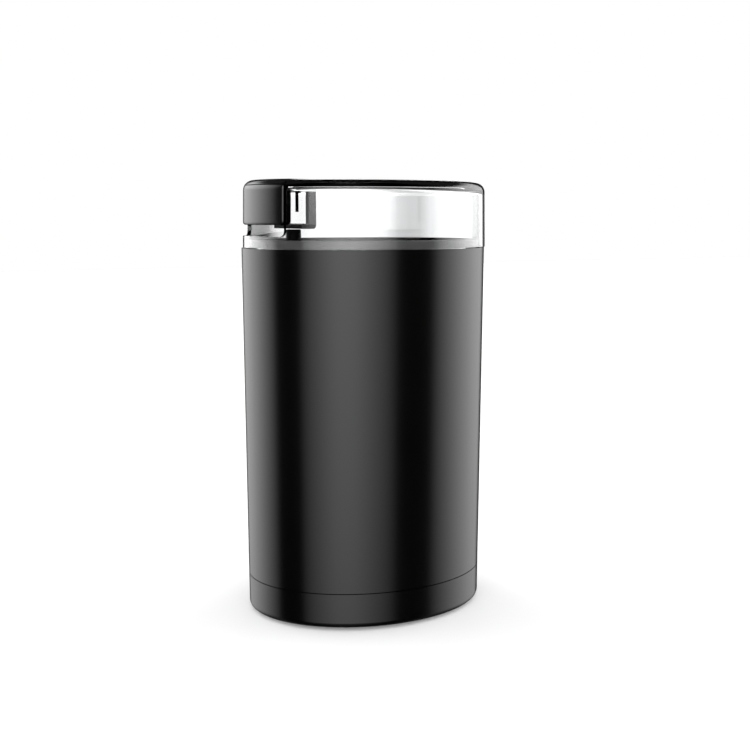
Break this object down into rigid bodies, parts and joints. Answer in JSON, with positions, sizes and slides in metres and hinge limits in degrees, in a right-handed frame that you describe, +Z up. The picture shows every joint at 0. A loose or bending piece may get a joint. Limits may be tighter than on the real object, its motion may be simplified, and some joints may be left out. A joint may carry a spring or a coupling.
{
  "type": "electric coffee grinder",
  "caption": "Upright oval blade grinder with a tapered black housing, seamed base, silver collar, clear lift-off lid and a press button in the lid's narrow end.",
  "frame": {"origin": "on the floor under the middle of the oval plan", "axes": "+Z up, X along the oval's long axis with the button at -X, -Y the front, cord inlet at +Y"},
  "size_m": [0.1014, 0.082, 0.1734],
  "materials": {
    "black_plastic": "satin",
    "clear_plastic": "clear",
    "collar_steel": "satin",
    "bowl_steel": "brushed",
    "blade_steel": "ground",
    "screw_steel": "plated",
    "foot_rubber": "matte",
    "seal_rubber": "matte",
    "cast_bracket": "as cast",
    "bronze": "sintered",
    "lamination": "laminated",
    "copper": "enamelled",
    "brass": "plain",
    "carbon": "matte",
    "resin": "matte",
    "nylon": "matte",
    "switch_case": "matte",
    "spring_steel": "plain",
    "board": "matte",
    "capacitor": "gloss",
    "lead": "matte"
  },
  "bodies": {
    "housing": {"body_shell": "black_plastic", "base_cover": "black_plastic", "rubber_feet": "foot_rubber", "base_screws": "screw_steel", "bowl_carrier": "black_plastic", "collar_ring": "collar_steel", "carrier_screws": "screw_steel", "grinding_bowl": "bowl_steel", "bowl_gasket": "seal_rubber", "bowl_screws": "screw_steel", "shaft_seal": "seal_rubber", "rod_spring": "spring_steel", "microswitch": "switch_case", "switch_screws": "screw_steel", "upper_bracket": "cast_bracket", "lower_bracket": "cast_bracket", "upper_bush": "bronze", "lower_bush": "bronze", "motor_mounts": "seal_rubber", "mount_screws": "screw_steel", "stator_core": "lamination", "field_coils": "copper", "motor_bolts": "screw_steel", "brush_holders": "brass", "carbon_brushes": "carbon", "brush_springs": "spring_steel", "circuit_board": "board", "suppression_capacitor": "capacitor", "switch_leads": "lead"},
    "rotor": {"motor_shaft": "screw_steel", "rotor_core": "lamination", "rotor_windings": "copper", "commutator_hub": "resin", "commutator_bars": "copper", "thrust_washers": "nylon", "cooling_fan": "nylon", "blade_hub": "black_plastic", "blade": "blade_steel", "blade_nut": "screw_steel"},
    "lid": {"lid_shell": "clear_plastic"},
    "button": {"lid_button": "black_plastic"},
    "push_rod": {"push_rod": "black_plastic", "rod_foot": "black_plastic"},
    "switch_lever": {"switch_lever": "spring_steel"},
    "switch_plunger": {"switch_plunger": "nylon"}
  },
  "joints": [
    {"name": "lid_lift", "type": "slide", "parent": "housing", "child": "lid", "axis": [0, 0, 1], "range_m": [0, 0.08]},
    {"name": "button_press", "type": "slide", "parent": "lid", "child": "button", "axis": [0, 0, -1], "range_m": [0, 0.004], "stiffness_N_per_m": 400, "springref_m": -0.004},
    {"name": "motor_spin", "type": "hinge", "parent": "housing", "child": "rotor", "pos_m": [0.008, 0, 0.09], "axis": [0, 0, 1], "continuous": true},
    {"name": "rod_travel", "type": "slide", "parent": "housing", "child": "push_rod", "axis": [0, 0, -1], "range_m": [0, 0.004], "deforming": ["rod_spring"]},
    {"name": "lever_swing", "type": "hinge", "parent": "housing", "child": "switch_lever", "pos_m": [-0.0381, 0.012, 0.1179], "axis": [1, 0, 0], "range_deg": [0, 15.5]},
    {"name": "plunger_travel", "type": "slide", "parent": "housing", "child": "switch_plunger", "axis": [0, 0, -1], "range_m": [0, 0.0013]}
  ],
  "couplings": [
    {"joint": "rod_travel", "follows": "button_press", "ratio": 1},
    {"joint": "lever_swing", "follows": "button_press", "rad_per_m": 67.2},
    {"joint": "plunger_travel", "follows": "button_press", "ratio": 0.325}
  ]
}
